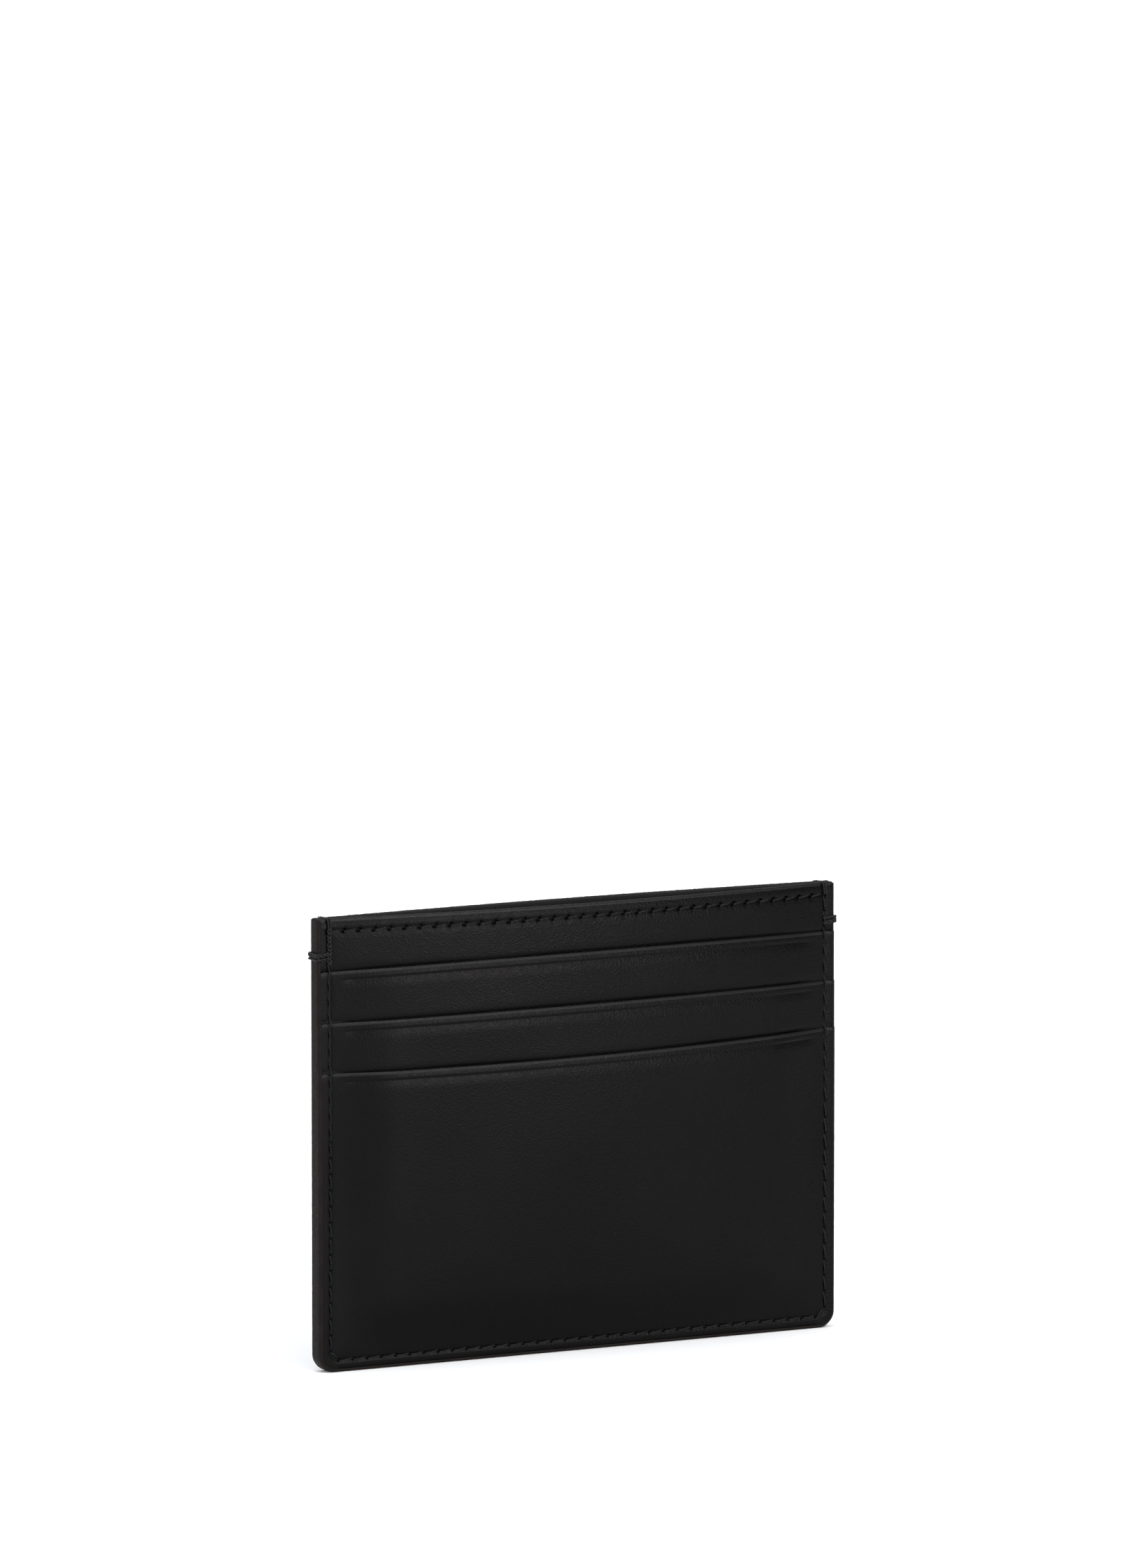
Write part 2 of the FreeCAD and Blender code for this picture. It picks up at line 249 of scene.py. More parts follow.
def waves(x, z, seed):
    """Gentle unevenness of hand-laid leather."""
    out = np.zeros(x.shape)
    local = np.random.default_rng(seed)
    crossing = 5
    for size, height in ((38.0, 0.05), (21.0, 0.028), (11.0, 0.012)):
        for _ in range(crossing):
            angle = local.uniform(0, math.tau)
            phase = local.uniform(0, math.tau)
            k = math.tau / (size * local.uniform(0.8, 1.25))
            along = x * math.cos(angle) + z * math.sin(angle)
            out += height / crossing ** 0.5 * np.sin(k * along + phase)
    return out * ramp(from_edge(x, z), 1.0, 6.0)


def shoulder(z):
    """Soft round shoulder below the painted top edge, with a fine line where the paint stops."""
    t = LEATHER_TOP - z
    return -0.20 * (1 - ramp(t, 0.0, 1.25)) - 0.05 * np.exp(-((t - 0.52) / 0.09) ** 2)


def rolled(border, r):
    """How far a face drops where it rolls over at its border."""
    e = np.clip(r - border, 0.0, r)
    return r - np.sqrt(np.maximum(r * r - e * e, 0.0))


# ---- sheets: a mesh that is fine only where the leather has detail ----
def new_object(name, points, faces):
    mesh = bpy.data.meshes.new(name)
    mesh.from_pydata((np.asarray(points) * MM).tolist(), [], faces)
    mesh.update()
    mesh.shade_smooth()
    obj = bpy.data.objects.new(name, mesh)
    bpy.context.scene.collection.objects.link(obj)
    return obj


def leaves_of(cols, rows, unit, wanted):
    """Squares of a grid, halved for as long as wanted(centre, size) says so."""
    i, j = [a.ravel() * unit for a in np.meshgrid(np.arange(cols), np.arange(rows), indexing="ij")]
    size = unit
    leaves = []
    while len(i):
        split = wanted(i + size / 2, j + size / 2, size) if size > 1 else np.zeros(len(i), bool)
        leaves.append((i[~split], j[~split], size))
        i, j = i[split], j[split]
        size //= 2
        i, j = np.concatenate([i, i + size, i, i + size]), np.concatenate([j, j, j + size, j + size])
    return leaves


def sheet(name, low, top, bottom_r, top_r, outer, inner, fine, facing=-1):
    """Closed sheet between two surfaces. top(x) is its upper edge, fine(x, z) the
    wanted mesh size; facing is -1 where outer looks to -Y and +1 where it looks to +Y."""
    half = LEATHER_HALF
    unit = 2 ** SPLITS
    high = float(np.mean(top(np.array([-half, half]))))
    cols = round(2 * half / MESH_HIDDEN)
    rows = round((high - low) / MESH_HIDDEN)
    dx = 2 * half / (cols * unit)
    dz = (high - low) / (rows * unit)

    pulled_width = 5.0

    def place(i, j):
        p = -half + i * dx
        q = low + j * dz
        lift = ramp(q, high - min(12.0, high - low), high)
        z = q + lift * (top(p) - high)
        narrow = rolled(q - low, bottom_r) + rolled(high - q, top_r)
        inner_x = half - pulled_width
        side = np.abs(p)
        pulled = inner_x + (side - inner_x) * (pulled_width - narrow) / pulled_width
        return np.sign(p) * np.where(side > inner_x, pulled, side), z

    def wanted(ci, cj, size):
        x, z = place(ci, cj)
        return fine(x, z) < 0.75 * size * dx

    leaves = leaves_of(cols, rows, unit, wanted)
    used = np.zeros((cols * unit + 1, rows * unit + 1), bool)
    for i, j, size in leaves:
        for a in (0, size):
            for b in (0, size):
                used[i + a, j + b] = True
    number = np.cumsum(used.ravel()).reshape(used.shape) - 1
    vi, vj = np.nonzero(used)
    count = len(vi)
    x, z = place(vi.astype(float), vj.astype(float))
    front = np.stack([x, outer(x, z), z], 1)
    back = np.stack([x, inner(x, z), z], 1)

    faces = []
    for li, lj, size in leaves:
        if size == 1:
            corners = ((li, lj), (li + 1, lj), (li + 1, lj + 1), (li, lj + 1))
            faces += np.stack([number[corner] for corner in corners], 1).tolist()
            continue
        for i, j in zip(li.tolist(), lj.tolist()):
            a = number[i:i + size + 1, j][used[i:i + size + 1, j]]
            b = number[i + size, j:j + size + 1][used[i + size, j:j + size + 1]]
            c = number[i:i + size + 1, j + size][used[i:i + size + 1, j + size]][::-1]
            d = number[i, j:j + size + 1][used[i, j:j + size + 1]][::-1]
            faces.append(a[:-1].tolist() + b[:-1].tolist() + c[:-1].tolist() + d[:-1].tolist())
    under = [[v + count for v in reversed(f)] for f in faces]
    low_side = number[:, 0][used[:, 0]].tolist()
    right_side = number[-1, :][used[-1, :]].tolist()
    high_side = number[:, -1][used[:, -1]].tolist()[::-1]
    left_side = number[0, :][used[0, :]].tolist()[::-1]
    rim = low_side[:-1] + right_side[:-1] + high_side[:-1] + left_side[:-1]
    walls = [[a, a + count, b + count, b] for a, b in zip(rim, rim[1:] + rim[:1])]
    faces = faces + under + walls
    if facing > 0:
        faces = [f[::-1] for f in faces]
    return new_object(name, np.vstack([front, back]), faces)


def fineness(top, top_row, creases, visible_from=-1.0):
    """Wanted mesh size on a leather face. A crease is (height by x, reach below, reach above)."""
    holes = PERIMETER if not top_row else np.vstack([PERIMETER, TOP_ROW])

    def fine(x, z):
        size = np.full(x.shape, MESH_PLAIN)
        d = from_edge(x, z)
        near_seam = np.abs(d - SEAM_INSET)
        size[near_seam < 0.7] = MESH_SEAM
        close = near_seam < 0.8
        px, pz = x[close], z[close]
        gap = np.full(px.shape, np.inf)
        for hx, hz in holes:
            gap = np.minimum(gap, np.hypot(px - hx, pz - hz))
        local = size[close]
        local[gap < 0.55] = MESH_FINE
        size[close] = local
        for line, below, above in creases:
            t = z - line(x)
            size[(t > -below) & (t < above)] = MESH_FINE
        size[(LEATHER_HALF - np.abs(x) < 0.5) | (d < 0.6) | (top(x) - z < 0.5)] = MESH_FINE
        size[z < visible_from] = MESH_HIDDEN
        return size
    return fine


def straight(z):
    """A level upper edge, as a function of x."""
    return lambda x: np.full(np.shape(x), z)


def panel_relief(x, z, seed):
    border = inset(x, z, LEATHER_HALF, COAT, LEATHER_TOP, CORNER_R - COAT)
    return seam_relief(x, z, True) + waves(x, z, seed) + shoulder(z) - rolled(border, BORDER_ROLL)


def leather_panels():
    top = straight(LEATHER_TOP)

    def front(x, z):
        return front_level(FRONT_MARGIN)(x, z) - panel_relief(x, z, 11) - tuck_relief(x, z, 0)

    def back(x, z):
        return back_level(BACK_MARGIN)(x, z) + panel_relief(x, z, 12)

    tuck = (lambda x: mouth_z(0, x), 0.3, 0.9)
    return {
        "front_panel": sheet("leather_front_panel", COAT, top, CORNER_R - COAT, PANEL_TOP_R, front,
                             front_level(FRONT_MARGIN - FRONT_LEATHER_T),
                             fineness(top, True, [tuck], visible_from=PANEL_HIDDEN_BELOW)),
        "back_panel": sheet("leather_back_panel", COAT, top, CORNER_R - COAT, PANEL_TOP_R, back,
                            back_level(BACK_MARGIN - BACK_LEATHER_T), fineness(top, True, []), facing=1),
    }


def pocket_face(index):
    """Outer surface of a pocket piece, before its border rolls over."""
    base = front_level(FRONT_MARGIN, index + 1)

    def face(x, z):
        relief = seam_relief(x, z, False) + lip_relief(x, z, index) + waves(x, z, 20 + index)
        if index < 2:
            relief += tuck_relief(x, z, index + 1)
        return base(x, z) - relief
    return face


def nose_drop(t, x):
    """How far the lip leans back towards the mouth, t below it; less in the thin margins."""
    return NOSE_DROP * (1 - 0.65 * ramp(np.abs(x), *THIN_MARGIN)) * (1 - ramp(t, 0.1, 1.15))


def pocket(index, name, low, bottom_r, inner):
    """Leather piece whose upper edge is a slot mouth; inner is its back surface."""
    def top(x):
        return mouth_z(index, x) - COAT

    def border(x, z):
        side = LEATHER_HALF - np.abs(x)
        if bottom_r:
            side = np.minimum(side, inset(x, z, LEATHER_HALF, low, HEIGHT, bottom_r))
        return np.minimum(side, top(x) - z)

    face = pocket_face(index)

    def outer(x, z):
        return face(x, z) + rolled(border(x, z), LIP_ROLL) + nose_drop(mouth_z(index, x) - z, x)

    def lip_inner(x, z):
        t = mouth_z(index, x) - z
        return inner(x, z) - 0.30 * (step(x, z) - GAP) * (1 - ramp(t, 0.0, 2.2))

    creases = [(lambda x: mouth_z(index, x) - CREASE_DROP, 0.55, 0.35)]
    visible = -1.0
    if index < 2:
        creases.append((lambda x: mouth_z(index + 1, x), 0.3, 0.9))
        visible = MOUTHS[index + 1][0] - 3.0
    return sheet(name, low, top, bottom_r, POCKET_TOP_R, outer, lip_inner,
                 fineness(top, False, creases, visible_from=visible))


# ---- beads of edge paint ----
def bead(name, path, out, front, back, lap, power, rough=0.0, seed=1, crest_at_back=False):
    """Painted edge swept along a path in the XZ plane. out is the outward direction,
    front and back the two faces it laps over. The crest is midway between the faces,
    or at the back one, which makes a nose that slopes to the front."""
    n = SECTION_POINTS
    phi = np.linspace(-math.pi / 2, 0 if crest_at_back else math.pi / 2, n - crest_at_back)
    c = np.abs(np.cos(phi)) ** (2 / power)
    s = np.sign(np.sin(phi)) * np.abs(np.sin(phi)) ** (2 / power)
    if crest_at_back:
        c = np.append(c, 0.0)
        s = np.append(s, 0.0)
    count = len(path)
    middle = back if crest_at_back else (front + back) / 2
    reach = (back - front) / (1 if crest_at_back else 2)
    o = np.tile(-lap + (lap + COAT) * c, (count, 1))
    y = middle[:, None] + reach[:, None] * s[None, :]
    if rough:
        noise = np.random.default_rng(seed).normal(0, rough, (count, n))
        noise = (noise + np.roll(noise, 1, 0) + np.roll(noise, 1, 1)) / 1.7
        o = o + noise * c[None, :]
    x = path[:, 0, None] + out[:, 0, None] * o
    z = path[:, 1, None] + out[:, 1, None] * o
    points = np.stack([x, y, z], 2)
    faces = []
    for i in range(count - 1):
        for k in range(n):
            a = i * n + k
            b = i * n + (k + 1) % n
            faces.append([a, b, b + n, a + n])
    faces.append(list(range(n - 1, -1, -1)))
    faces.append([(count - 1) * n + k for k in range(n)])
    return new_object(name, points.reshape(-1, 3), faces)


def outward(path):
    """Directions out of the holder along a path that runs down, across and up again."""
    tangent = np.gradient(path, axis=0)
    tangent /= np.linalg.norm(tangent, axis=1)[:, None]
    return np.stack([tangent[:, 1], -tangent[:, 0]], 1)


def upward(path):
    return np.tile([0.0, 1.0], (len(path), 1))


def side_path():
    """Down the left side, round the bottom and up the right side, on the leather's border."""
    r = CORNER_R - COAT

    def heights(side):
        """Heights up one side, closer together beside the slot mouths."""
        marks = [mouth_z(k, side * HALF_WIDTH) for k in range(3)]
        z = [COAT + r]
        while z[-1] < LEATHER_TOP:
            near = min(abs(z[-1] - m) for m in marks)
            z.append(z[-1] + (0.08 if near < 0.8 else 0.35))
        z[-1] = LEATHER_TOP
        return np.array(z)

    left = heights(-1)[::-1]
    right = heights(1)
    angle = np.linspace(0, math.pi / 2, 14)[1:-1]
    cx = LEATHER_HALF - r
    xs = np.arange(-cx, cx + 0.01, 0.5)
    xs[-1] = cx
    return np.vstack([
        np.stack([np.full(left.shape, -LEATHER_HALF), left], 1),
        np.stack([-cx - r * np.cos(angle), COAT + r - r * np.sin(angle)], 1),
        np.stack([xs, np.full(xs.shape, COAT)], 1),
        np.stack([cx + r * np.sin(angle), COAT + r - r * np.cos(angle)], 1),
        np.stack([np.full(right.shape, LEATHER_HALF), right], 1),
    ])


def painted_sides():
    path = side_path()
    x, z = path[:, 0], path[:, 1]
    sunk = 0.03
    front = front_level(FRONT_MARGIN, pocket_layers(x, z, -0.25, 0.25))(x, z) + sunk
    back = back_level(BACK_MARGIN)(x, z) - sunk
    return bead("paint_sides", path, outward(path), front, back, SIDE_LAP, power=4.2, rough=0.008, seed=3)


def painted_top(half):
    xs = np.arange(-LEATHER_HALF, LEATHER_HALF + 0.01, 0.22)
    path = np.stack([xs, np.full(xs.shape, LEATHER_TOP)], 1)
    high = np.full(xs.shape, HEIGHT)
    sunk = 0.22
    if half == "front":
        faces = front_level(FRONT_MARGIN - sunk)(xs, high), front_level(GAP)(xs, high)
    else:
        faces = back_level(GAP)(xs, high), back_level(BACK_MARGIN - sunk)(xs, high)
    return bead("paint_top_" + half, path, upward(path), *faces, TOP_LAP, power=3.4, rough=0.022, seed=5)


def painted_mouth(index):
    edge = LEATHER_HALF - 1
    xs = np.concatenate([np.linspace(-LEATHER_HALF, -edge, 14)[:-1],
                         np.arange(-edge, edge + 0.01, 0.3),
                         np.linspace(edge, LEATHER_HALF, 14)[1:]])
    zs = mouth_z(index, xs) - COAT - rolled(LEATHER_HALF - np.abs(xs), POCKET_TOP_R)
    path = np.stack([xs, zs], 1)
    lip = pocket_face(index)(xs, zs - SLOT_LAP)
    front = lip + nose_drop(SLOT_LAP + COAT, xs) - 0.022
    back = lip + 0.68 * (step(xs, zs) - GAP)
    return bead("paint_slot_" + SLOT_NAMES[index], path, upward(path), front, back, SLOT_LAP,
                power=2.0, crest_at_back=True)


def painted_edges():
    pieces = {"edge_coat_sides": painted_sides()}
    for half in ("front", "back"):
        pieces["edge_coat_%s_top" % half] = painted_top(half)
    for index, name in enumerate(SLOT_NAMES):
        pieces["edge_coat_slot_" + name] = painted_mouth(index)
    return pieces


# ---- thread ----
def crosswise(path):
    """Two directions square to a path at each of its points."""
    tangent = np.gradient(path, axis=0)
    tangent /= np.linalg.norm(tangent, axis=1)[:, None]
    u = np.cross(tangent, CROSS_GUIDE)
    u /= np.linalg.norm(u, axis=1)[:, None]
    return u, np.cross(tangent, u)


def around(path, r, angles):
    """Points at a radius from a path, one row for each point of the path."""
    u, w = crosswise(path)
    ring = u[:, None, :] * np.cos(angles)[..., None] + w[:, None, :] * np.sin(angles)[..., None]
    return path[:, None, :] + r * ring


def twisted(paths, r, pitch):
    """Threads of twisted plies along several paths, as points and faces."""
    points, faces, offset = [], [], 0
    section = np.linspace(0, math.tau, PLY_SIDES, endpoint=False)[None, :]
    for path in paths:
        length = np.concatenate([[0], np.cumsum(np.linalg.norm(np.diff(path, axis=0), axis=1))])
        start = rng.uniform(0, math.tau)
        count = len(path)
        for ply in range(PLIES):
            turn = start + math.tau * (length / pitch + ply / PLIES)
            centre = around(path, 0.48 * r, turn[:, None])[:, 0]
            points.append(around(centre, 0.62 * r, section).reshape(-1, 3))
            for i in range(count - 1):
                for k in range(PLY_SIDES):
                    p = offset + i * PLY_SIDES + k
                    q = offset + i * PLY_SIDES + (k + 1) % PLY_SIDES
                    faces.append([p, p + PLY_SIDES, q + PLY_SIDES, q])
            faces.append([offset + k for k in range(PLY_SIDES)])
            faces.append([offset + (count - 1) * PLY_SIDES + k for k in range(PLY_SIDES - 1, -1, -1)])
            offset += count * PLY_SIDES
    return np.vstack(points), faces


def stitch_paths(holes, level, side, r, slant, dip=0.30, proud=0.25, early=1.0, sunk=0.10):
    """Thread from hole to hole, diving into each. side is -1 to the front and 1 to the back;
    slant leans it across the row; with early below 1 it stands highest just after the hole
    and sinks into the groove later."""
    paths = []
    fullness = 0.55 if early == 1.0 else 0.9
    t = np.linspace(0.03, 0.97, 17)
    for a, b in zip(holes, holes[1:]):
        along = (b - a) / np.linalg.norm(b - a)
        across = np.array([-along[1], along[0]])
        lean = slant * (2 * t - 1)
        xz = a + (b - a) * t[:, None] + across * lean[:, None]
        lift = -dip + (dip + proud * r) * np.sin(math.pi * t ** early) ** fullness
        lift += rng.normal(0, 0.006)
        y = level(xz[:, 0], xz[:, 1]) + side * (lift - sunk + r)
        paths.append(np.stack([xz[:, 0], y, xz[:, 1]], 1))
    return paths


def thread_object(name, *groups):
    """One mesh from groups of (paths, radius, length of one turn of the twist)."""
    points, faces, offset = [], [], 0
    for paths, r, pitch in groups:
        more, those = twisted(paths, r, pitch)
        points.append(more)
        faces += [[v + offset for v in f] for f in those]
        offset += len(more)
    return new_object(name, np.vstack(points), faces)


def rounded(corners, r):
    """Dense polyline with round corners."""
    corners = [np.array(c, float) for c in corners]
    out = [corners[0]]
    for a, b, c in zip(corners, corners[1:], corners[2:]):
        p = b + (a - b) / np.linalg.norm(a - b) * r
        q = b + (c - b) / np.linalg.norm(c - b) * r
        for s in np.linspace(0, 1, 5):
            out.append((1 - s) ** 2 * p + 2 * s * (1 - s) * b + s * s * q)
    out.append(corners[-1])
    dense = [out[0]]
    for a, b in zip(out, out[1:]):
        n = max(1, int(np.linalg.norm(b - a) / 0.12))
        dense += [a + (b - a) * k / n for k in range(1, n + 1)]
    return np.array(dense)


def doubled_thread():
    """Zigzag of the seam's start, sewn twice over the upper left of the front."""
    z = np.arange(TACK_HEIGHT - 1.6, TOP_SEAM_Z + 0.6, 0.12)
    paths = []
    for phase, lift in ((0.0, 0.0), (math.pi * 0.9, 0.12)):
        across = 0.30 * np.sin(math.tau * z / 1.45 + phase)
        rise = 0.02 + lift + 0.05 * np.cos(math.tau * z / 0.72)
        paths.append(np.stack([-SEAM_X + across, front_level(FRONT_MARGIN + rise)(SEAM_X, z), z], 1))
    return paths


def perimeter_front():
    def level(x, z):
        return front_level(FRONT_MARGIN, pocket_layers(x, z, -0.5, 0.0))(x, z)

    stitches = stitch_paths(PERIMETER, level, -1, **SIDE_STITCH)
    return thread_object("stitches_perimeter_front", (stitches, SIDE_THREAD_R, SEAM_TWIST),
                         (doubled_thread(), 0.19, 1.3))


def perimeter_back():
    stitches = stitch_paths(PERIMETER, back_level(BACK_MARGIN), 1, **SIDE_STITCH)
    return thread_object("stitches_perimeter_back", (stitches, SIDE_THREAD_R, SEAM_TWIST))


def top_seam(half):
    """Needle thread on the leather and bobbin thread on the lining of one half."""
    side = -1 if half == "front" else 1
    leather = front_level(FRONT_MARGIN) if half == "front" else back_level(BACK_MARGIN)
    lining = front_level(GAP) if half == "front" else back_level(GAP)
    return thread_object(
        "stitches_top_" + half,
        (stitch_paths(TOP_ROW, leather, side, **TOP_STITCH), TOP_STITCH["r"], SEAM_TWIST),
        (stitch_paths(TOP_ROW[3:-3], lining, -side, **LINING_STITCH), LINING_STITCH["r"], SEAM_TWIST))


def bar_tack(side, name):
    """Three strands round the side edge, from the front seam to the back one."""
    r = WHIP_R
    start = side * (SEAM_X - 0.15)
    inward = start + side * 0.3
    edge = side * (HALF_WIDTH + r - 0.02)
    front = -(FRONT_MARGIN + r - 0.02)
    back = BACK_MARGIN + r - 0.02
    strands = []
    for i in range(3):
        z = TACK_HEIGHT + (i - 1) * 2.5 * r + rng.uniform(-0.05, 0.05)
        lean = 0.30 * side * (1.2 if i % 2 else 0.4)
        strands.append(rounded([(start, front + 0.3, z - lean), (inward, front - 0.05, z - lean),
                                (edge, front, z), (edge, back, z + 0.1),
                                (inward, back + 0.05, z + lean), (start, back - 0.3, z + lean)], 0.28))
    return thread_object("tack_" + name, (strands, 1.45 * r, 1.7))


def corner_wrap(side, name):
    """Two strands over the top edge where the side seam starts."""
    r = WHIP_R
    crown = float(bulge(SEAM_X, HEIGHT))
    top = HEIGHT - 0.06
    low = TOP_SEAM_Z + 0.05
    front = -(FRONT_MARGIN + FRONT_BULGE * crown + r - 0.03)
    back = BACK_MARGIN + BACK_BULGE * crown + r - 0.03
    strands = []
    for i in range(2):
        x = side * (SEAM_X + (i - 0.5) * 0.40)
        strands.append(rounded([(x + 0.10, front + 0.3, low - 0.05), (x + 0.08, front, low + 0.2),
                                (x - 0.12, front, top), (x - 0.20, back, top),
                                (x + 0.05, back, low + 0.2), (x + 0.05, back - 0.3, low)], 0.28))
    return thread_object("wrap_" + name, (strands, 1.15 * r, 1.2))


def seams():
    pieces = {"seam_perimeter_front": perimeter_front(), "seam_perimeter_back": perimeter_back()}
    for half in ("front", "back"):
        pieces["seam_top_" + half] = top_seam(half)
    for side, name in ((-1, "left"), (1, "right")):
        pieces["bartack_" + name] = bar_tack(side, name)
        pieces["corner_wrap_" + name] = corner_wrap(side, name)
    return pieces


# ---- materials ----
class Nodes:
    """Short way to build a node tree."""

    def __init__(self, name):
        self.material = bpy.data.materials.new(name)
        self.material.use_nodes = True
        self.tree = self.material.node_tree
        self.shader = self.tree.nodes["Principled BSDF"]
        self.place = self.tree.nodes.new("ShaderNodeTexCoord").outputs["Object"]

    def add(self, kind, **inputs):
        node = self.tree.nodes.new(kind)
        for key, value in inputs.items():
            socket = node.inputs[key.replace("_", " ")]
            if isinstance(value, bpy.types.NodeSocket):
                self.tree.links.new(value, socket)
            else:
                socket.default_value = value
        return node

    def noise(self, scale, detail=2.0):
        node = self.add("ShaderNodeTexNoise", Scale=scale, Detail=detail, Vector=self.place)
        return node.outputs["Fac"]

    def cells(self, scale, vector):
        node = self.add("ShaderNodeTexVoronoi", Scale=scale, Vector=vector)
        node.feature = "SMOOTH_F1"
        node.inputs["Smoothness"].default_value = 0.6
        return node.outputs["Distance"]

    def stretched(self, scale, angle):
        node = self.add("ShaderNodeMapping", Vector=self.place)
        node.inputs["Scale"].default_value = scale
        node.inputs["Rotation"].default_value = (0.0, angle, 0.0)
        return node.outputs["Vector"]

    def across(self, direction):
        """Place along the width, in metres, with a little unevenness."""
        node = self.add("ShaderNodeVectorMath")
        node.operation = "DOT_PRODUCT"
        self.tree.links.new(self.place, node.inputs[0])
        node.inputs[1].default_value = (direction, 0.0, 0.3)
        return node.outputs["Value"]

    def blend(self, factor, dark, light):
        ramp_node = self.tree.nodes.new("ShaderNodeValToRGB")
        self.tree.links.new(factor, ramp_node.inputs["Fac"])
        ramp_node.color_ramp.elements[0].position = 0.3
        ramp_node.color_ramp.elements[1].position = 0.7
        ramp_node.color_ramp.elements[0].color = (*dark, 1.0)
        ramp_node.color_ramp.elements[1].color = (*light, 1.0)
        return ramp_node.outputs["Color"]

    def mapped(self, value, start, end, low, high):
        """low where the value is at start, high where it is at end."""
        node = self.add("ShaderNodeMapRange", Value=value, From_Min=start, From_Max=end,
                        To_Min=low, To_Max=high)
        return node.outputs["Result"]

    def spread(self, factor, low, high):
        return self.mapped(factor, 0.3, 0.7, low, high)

    def bump(self, height, distance, strength=1.0, normal=None):
        node = self.add("ShaderNodeBump", Height=height, Distance=distance, Strength=strength)
        if normal:
            self.tree.links.new(normal, node.inputs["Normal"])
        return node.outputs["Normal"]

    def finish(self, color, roughness, normal, specular=0.5, sheen=0.0):
        self.tree.links.new(color, self.shader.inputs["Base Color"])
        self.tree.links.new(roughness, self.shader.inputs["Roughness"])
        self.tree.links.new(normal, self.shader.inputs["Normal"])
        self.shader.inputs["Specular IOR Level"].default_value = specular
        self.shader.inputs["Sheen Weight"].default_value = sheen
        return self.material


def leather_material(name, angle, smooth_end):
    """Black leather; smooth_end is 1 where the grain fades to the left and -1 where to the right."""
    n = Nodes(name)
    grain = n.cells(3100.0, n.stretched((1.0, 1.0, 1.12), angle))
    color = n.blend(n.noise(45.0, 3.0), (0.0013, 0.0011, 0.0011), (0.0023, 0.0020, 0.0020))
    firmness = n.mapped(n.across(smooth_end), -0.035, 0.015, 0.30, 1.0)
    normal = n.bump(grain, 0.000046, strength=firmness)
    normal = n.bump(n.noise(8000.0, 3.0), 0.000012, normal=normal)
    normal = n.bump(n.noise(900.0, 3.0), 0.000008, normal=normal)
    return n.finish(color, n.spread(n.noise(900.0, 2.0), 0.31, 0.39), normal, specular=0.068)


def paint_material(name, grit, gloss, specular, tone):
    """Edge paint; grit is the scale of its unevenness, gloss its lowest roughness and tone its colour,
    which for the sides is lightened as painted light.
    """
    n = Nodes(name)
    dark, light = [tuple(c * share for c in tone) for share in (0.8, 1.15)]
    color = n.blend(n.noise(300.0, 3.0), dark, light)
    normal = n.bump(n.noise(grit, 3.0), 0.00006)
    normal = n.bump(n.noise(9000.0, 2.0), 0.00001, normal=normal)
    roughness = n.spread(n.noise(1500.0, 2.0), gloss, gloss + 0.14)
    return n.finish(color, roughness, normal, specular=specular)


def thread_material():
    n = Nodes("waxed_thread")
    color = n.blend(n.noise(2500.0, 2.0), (0.0022, 0.0022, 0.0024), (0.0050, 0.0048, 0.0052))
    normal = n.bump(n.noise(14000.0, 3.0), 0.00002)
    return n.finish(color, n.spread(n.noise(4000.0), 0.26, 0.42), normal, specular=0.20)


def lining_material():
    n = Nodes("woven_lining")
    twill = n.add("ShaderNodeTexWave", Scale=2400.0, Distortion=1.0, Detail=2.0,
                  Vector=n.stretched((1.0, 1.0, 1.0), math.radians(45)))
    twill.inputs["Detail Scale"].default_value = 2.0
    color = n.blend(twill.outputs["Fac"], (0.003, 0.003, 0.0035), (0.007, 0.007, 0.008))
    normal = n.bump(twill.outputs["Fac"], 0.00003)
    return n.finish(color, n.spread(n.noise(3000.0), 0.7, 0.85), normal, specular=0.15, sheen=0.03)


def board_material():
    n = Nodes("bonded_board")
    color = n.blend(n.noise(700.0, 4.0), (0.10, 0.085, 0.07), (0.17, 0.15, 0.12))
    normal = n.bump(n.noise(2500.0, 4.0), 0.00006)
    return n.finish(color, n.spread(n.noise(900.0), 0.75, 0.9), normal, specular=0.3)


MATERIALS = {
    "leather_front": leather_material("leather_front", 0.7, 1.0),
    "leather_back": leather_material("leather_back", -0.4, -1.0),
    # One edge paint in three tones. On the sides its tone is lighter and warmer: painted light, where the
    # sides face the light from the left. The top edges get a darker, slightly bluish copy and the slot
    # mouths the darkest copy.
    "edge_paint": paint_material("edge_paint", 2200.0, 0.45, 0.050, (0.0088, 0.0072, 0.0064)),
    "edge_paint_rough": paint_material("edge_paint_rough", 3400.0, 0.30, 0.15, (0.0050, 0.0050, 0.0055)),
    "edge_paint_fine": paint_material("edge_paint_fine", 5000.0, 0.32, 0.16, (0.0030, 0.0028, 0.0030)),
    "thread": thread_material(),
    "lining": lining_material(),
    "board": board_material(),
}


def dress(obj, node, slot, material=None):
    obj.data.materials.clear()
    obj.data.materials.append(MATERIALS[material or slot])
    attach(obj, "root")
    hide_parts(node)


# ---- the object ----
for node, piece in leather_panels().items():
    dress(piece, node, "leather_front" if node.startswith("front") else "leather_back")
for index in range(2):
    low = MOUTHS[index][0] - POCKET_DEPTH
    piece = pocket(index, "leather_pocket_" + SLOT_NAMES[index], low, 0.0,
                   front_level(FRONT_MARGIN + GAP, index))
    dress(piece, "pocket_" + SLOT_NAMES[index], "leather_front")
piece = pocket(2, "leather_pocket_bottom", COAT, CORNER_R - COAT, bottom_pocket_inner)
dress(piece, "pocket_bottom", "leather_front")

